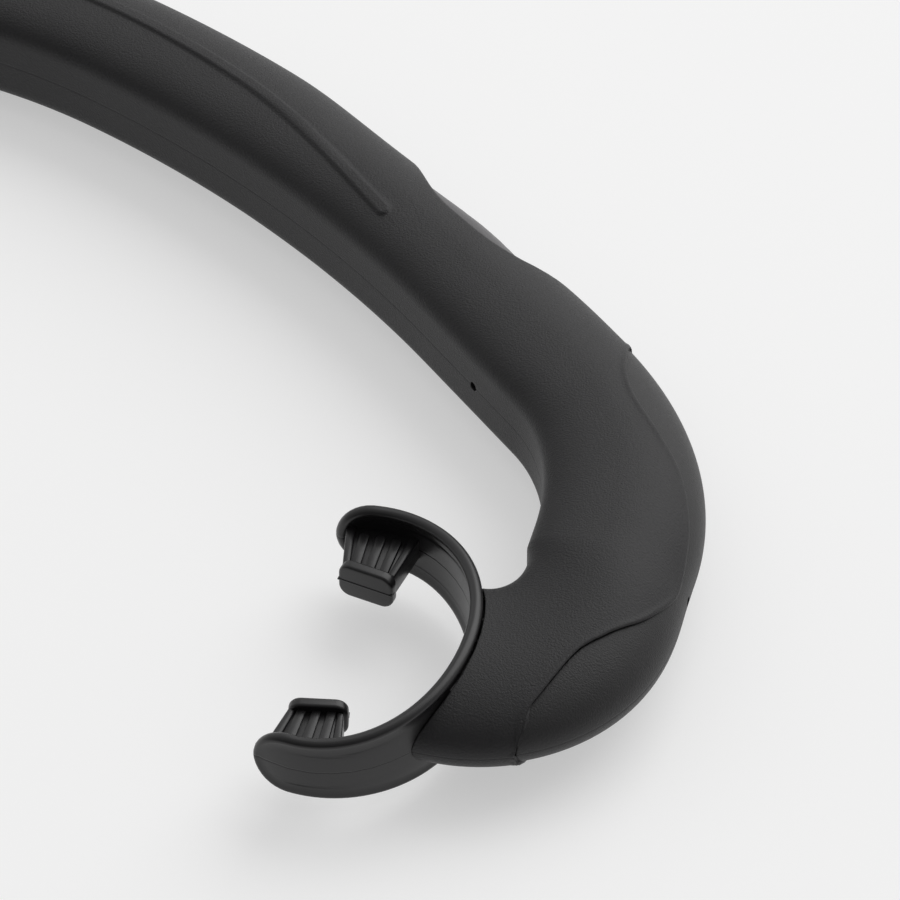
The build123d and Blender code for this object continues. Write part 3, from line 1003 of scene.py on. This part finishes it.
boss_back = top_y - tube_half_width - collar_play - boss_sink
bpy.ops.mesh.primitive_cylinder_add(
    vertices=96,
    radius=boss_radius,
    depth=boss_back - boss_face,
    location=(collar_middle, (boss_face + boss_back) / 2, 0),
    rotation=(pi / 2, 0, 0),
)
boss = bpy.context.object
bpy.ops.object.transform_apply(location=True, rotation=True, scale=True)
soften(boss, 0.35 * mm)
keeper_collar = join([keeper_collar, boss], "keeper_collar_moulded")
keeper_colour = (0.018, 0.018, 0.0185, 1)
keeper_plastic = moulded_finish("keeper_plastic", keeper_colour, 0.38, 0.2 * mm, 0.008 * mm, 0.45)
keeper_collar.data.materials.clear()
keeper_collar.data.materials.append(keeper_plastic)
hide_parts("keeper_collar")
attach(keeper_collar, "keeper")

# ------------------------------------------------------------------ clip stud
# A turned plastic stud pressed into the collar's boss.  Its domed head, with a shallow dimple, holds
# the clip and lets it turn.
stud_low, stud_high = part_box("clip_stud")
stud_x = (stud_low.x + stud_high.x) / 2
stud_head = (stud_high.x - stud_low.x) / 2
stud_shank = 2.5 * mm
stud_head_height = 1.4 * mm
stud_tip = 0.3 * mm
# Each pair is a radius on the head's face and how far the face lies below its highest point there.
stud_steps = [(0.0, 0.35), (1.1, 0.3), (1.8, 0.05), (2.3, 0.0)]
stud_steps += [(3.3, 0.06), (3.9, 0.24), (4.25, 0.5), (4.4, 0.85)]
stud_outline = [(radius * mm, stud_low.y + drop * mm) for radius, drop in stud_steps]
head_back = stud_low.y + stud_head_height
stud_outline += [(stud_head, head_back - 0.2 * mm), (stud_head - 0.2 * mm, head_back)]
stud_outline += [(stud_shank, head_back), (stud_shank, stud_high.y - stud_tip)]
stud_outline += [(stud_shank - stud_tip, stud_high.y), (0.0, stud_high.y)]
stud_count = 72
stud_rows = []
for radius, height in stud_outline:
    turns = [2 * pi * n / stud_count for n in range(stud_count)]
    stud_rows.append([Vector((stud_x + radius * cos(turn), height, radius * sin(turn))) for turn in turns])
clip_stud = sheet_mesh("clip_stud_turned", stud_rows, closed=True)
bpy.ops.object.shade_smooth_by_angle(angle=radians(40))
stud_colour = (0.02, 0.02, 0.0205, 1)
stud_plastic = moulded_finish("stud_plastic", stud_colour, 0.26, 0.4 * mm, 0.003 * mm, 0.5, 0.05)
clip_stud.data.materials.append(stud_plastic)
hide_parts("clip_stud")
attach(clip_stud, "keeper")

# ------------------------------------------------------------------ strap clip
# A flat plastic buckle that turns on the stud.  Two long slots take the mask strap, and the edges
# are rounded so that they don't cut it.
clip_low, clip_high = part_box("strap_clip")
clip_middle = (clip_low + clip_high) / 2
clip_size = clip_high - clip_low
slot_length = 24.0 * mm
slot_width = 4.8 * mm
slot_centre = 6.6 * mm
slot_round = 1.2 * mm
clip_corner = 2.4 * mm
swivel_play = 0.08 * mm


def rounded_plate(name, length, width, thickness, corner):
    """Flat plate square to Y with rounded corners, centred on the origin."""
    plate = block(name, (-length / 2, -thickness / 2, -width / 2), (length / 2, thickness / 2, width / 2))
    weights = plate.data.attributes.new("bevel_weight_edge", "FLOAT", "EDGE")
    for edge in plate.data.edges:
        first, second = (plate.data.vertices[index].co for index in edge.vertices)
        weights.data[edge.index].value = 1.0 if abs(first.y - second.y) > thickness / 2 else 0.0
    bpy.context.view_layer.objects.active = plate
    rounding = plate.modifiers.new("corners", "BEVEL")
    rounding.width = corner
    rounding.segments = 8
    rounding.limit_method = "WEIGHT"
    bpy.ops.object.modifier_apply(modifier="corners")
    return plate


strap_clip = rounded_plate("strap_clip_moulded", clip_size.x, clip_size.z, clip_size.y, clip_corner)
cutters = []
for side in (-1, 1):
    slot = rounded_plate("slot", slot_length, slot_width, 3 * clip_size.y, slot_round)
    slot.location.z = side * slot_centre
    cutters.append(slot)
bpy.ops.object.select_all(action="DESELECT")
bpy.ops.mesh.primitive_cylinder_add(
    vertices=72, radius=stud_shank + swivel_play, depth=3 * clip_size.y, rotation=(pi / 2, 0, 0)
)
cutters.append(bpy.context.object)
bpy.context.view_layer.update()
for cutter in cutters:
    cut = strap_clip.modifiers.new("cut", "BOOLEAN")
    cut.operation = "DIFFERENCE"
    cut.solver = "EXACT"
    cut.object = cutter
    bpy.context.view_layer.objects.active = strap_clip
    bpy.ops.object.modifier_apply(modifier="cut")
    bpy.data.objects.remove(cutter)
soften(strap_clip, 0.45 * mm, 3, 50)
strap_clip.location = clip_middle
bpy.ops.object.select_all(action="DESELECT")
strap_clip.select_set(True)
bpy.context.view_layer.objects.active = strap_clip
bpy.ops.object.transform_apply(location=True, rotation=True, scale=True)
clip_colour = (0.018, 0.018, 0.0185, 1)
clip_plastic = moulded_finish("clip_plastic", clip_colour, 0.36, 0.2 * mm, 0.008 * mm, 0.45)
strap_clip.data.materials.append(clip_plastic)
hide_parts("strap_clip")
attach(strap_clip, "clip")

# ------------------------------------------------------------------ floor, light and camera
# A pale table that glows a little, a big soft light from behind and above, a background that is darker
# on the camera's side, and a long lens that looks down on the bend.
bpy.ops.object.select_all(action="DESELECT")
bpy.ops.mesh.primitive_plane_add(size=8, location=(0, 0, cad_box[0][2]))
floor = bpy.context.object
floor.name = "floor"
floor_paint = bpy.data.materials.new("floor_paint")
floor_paint.use_nodes = True
floor_shader = floor_paint.node_tree.nodes["Principled BSDF"]
floor_shader.inputs["Base Color"].default_value = (0.54, 0.54, 0.54, 1)
floor_shader.inputs["Roughness"].default_value = 0.9
floor_shader.inputs["Emission Color"].default_value = (1, 1, 1, 1)
floor_shader.inputs["Emission Strength"].default_value = 0.47
floor.data.materials.append(floor_paint)


def soft_light(name, place, size, power):
    lamp = bpy.data.lights.new(name, "AREA")
    lamp.energy = power
    lamp.size = size
    lamp_object = bpy.data.objects.new(name, lamp)
    bpy.context.scene.collection.objects.link(lamp_object)
    lamp_object.location = place
    lamp_object.rotation_euler = (-Vector(place)).to_track_quat("-Z", "Y").to_euler()


soft_light("key", (0.7, 1.5, 1.6), 2.2, 26)
world = bpy.context.scene.world or bpy.data.worlds.new("studio")
bpy.context.scene.world = world
world.use_nodes = True
sky = world.node_tree.nodes
sky_links = world.node_tree.links
sky_way = sky.new("ShaderNodeTexCoord")
sky_split = sky.new("ShaderNodeSeparateXYZ")
sky_range = sky.new("ShaderNodeMapRange")
sky_range.inputs["From Min"].default_value = -0.8
sky_range.inputs["From Max"].default_value = 0.5
sky_range.inputs["To Min"].default_value = 0.12
sky_range.inputs["To Max"].default_value = 0.72
sky_links.new(sky_way.outputs["Generated"], sky_split.inputs["Vector"])
sky_links.new(sky_split.outputs["Y"], sky_range.inputs["Value"])
sky_links.new(sky_range.outputs["Result"], sky["Background"].inputs["Strength"])
sky["Background"].inputs["Color"].default_value = (1, 1, 1, 1)
bpy.context.scene.view_settings.view_transform = "Standard"

view_turn = 14.5
view_drop = 45.0
view_distance = 1.6
aim = Vector((-17.5, 56.75, 0)) * mm
camera_data = bpy.data.cameras.new("camera")
camera_data.sensor_width = 36.0
camera_data.lens = 336.0
camera_data.clip_end = 20.0
camera = bpy.data.objects.new("camera", camera_data)
bpy.context.scene.collection.objects.link(camera)
plan = direction(view_turn + 90) * cos(radians(view_drop))
camera.location = aim - Vector((plan.x, plan.y, -sin(radians(view_drop)))) * view_distance
camera.rotation_euler = Euler((radians(90 - view_drop), 0, radians(view_turn)))
bpy.context.scene.camera = camera
